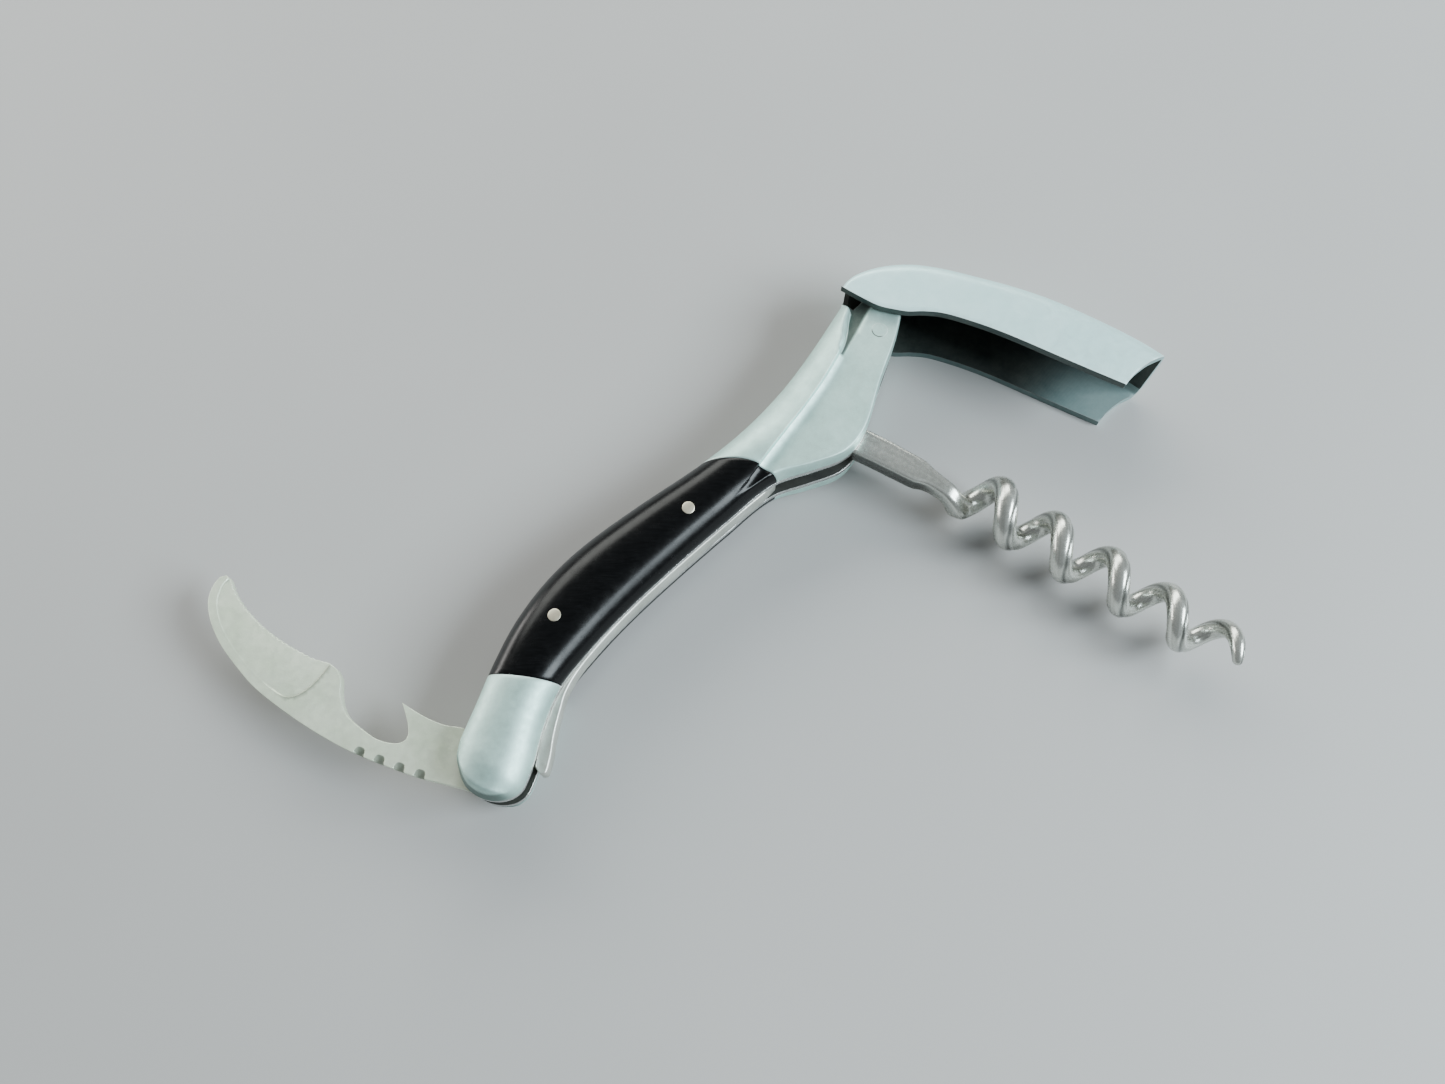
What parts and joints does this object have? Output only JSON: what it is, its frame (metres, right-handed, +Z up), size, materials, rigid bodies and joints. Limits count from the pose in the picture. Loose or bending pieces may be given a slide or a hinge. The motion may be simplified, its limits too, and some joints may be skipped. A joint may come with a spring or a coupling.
{
  "type": "waiters corkscrew",
  "caption": "Waiter's corkscrew lying half opened on its side: curved two-sided handle, foil knife, right-handed worm and channel-shaped boot lever.",
  "frame": {"origin": "middle of the whole spread in plan, on the surface that the corkscrew lies on", "axes": "+Z up through the thickness, +X along the longest spread from the knife's point towards the worm's point, +Y towards the lever"},
  "size_m": [0.1653, 0.094, 0.015],
  "materials": {
    "satin_steel": "satin bead-blasted cast stainless steel",
    "polished_steel": "bright ground stainless steel",
    "spring_steel": "ground spring steel",
    "blade_steel": "satin stainless steel",
    "black_scale": "satin black",
    "rivet_metal": "nickel silver",
    "washer_brass": "dull"
  },
  "bodies": {
    "handle": {"upper_liner": "polished_steel", "lower_liner": "polished_steel", "upper_knife_bolster": "satin_steel", "lower_knife_bolster": "satin_steel", "upper_lever_bolster": "satin_steel", "lower_lever_bolster": "satin_steel", "upper_handle_scale": "black_scale", "lower_handle_scale": "black_scale", "upper_front_scale_rivet": "rivet_metal", "lower_front_scale_rivet": "rivet_metal", "upper_rear_scale_rivet": "rivet_metal", "lower_rear_scale_rivet": "rivet_metal", "upper_knife_washer": "washer_brass", "lower_knife_washer": "washer_brass", "back_spring": "spring_steel", "front_spring_pin": "polished_steel", "rear_spring_pin": "polished_steel", "end_spacer": "polished_steel", "end_spacer_pin": "polished_steel", "knife_pivot_pin": "polished_steel", "worm_pivot_pin": "polished_steel"},
    "knife": {"knife_blade": "blade_steel"},
    "worm": {"worm": "polished_steel"},
    "lever": {"boot_lever": "satin_steel", "lever_hinge_pin": "satin_steel"}
  },
  "joints": [
    {"name": "knife_hinge", "type": "hinge", "parent": "handle", "child": "knife", "pos_m": [-0.03401, -0.04167, 0.0075], "axis": [0, 0, 1], "range_deg": [-90, 90]},
    {"name": "lever_hinge", "type": "hinge", "parent": "handle", "child": "lever", "pos_m": [0.02785, 0.03943, 0.0075], "axis": [0, 0, 1], "range_deg": [-98, 6]},
    {"name": "worm_hinge", "type": "hinge", "parent": "handle", "child": "worm", "pos_m": [0.01957, 0.01616, 0.0075], "axis": [0, 0, 1], "range_deg": [-92.1, 6]}
  ],
  "couplings": [
    {"joint": "worm_hinge", "follows": "lever_hinge", "ratio": 0.93878}
  ]
}
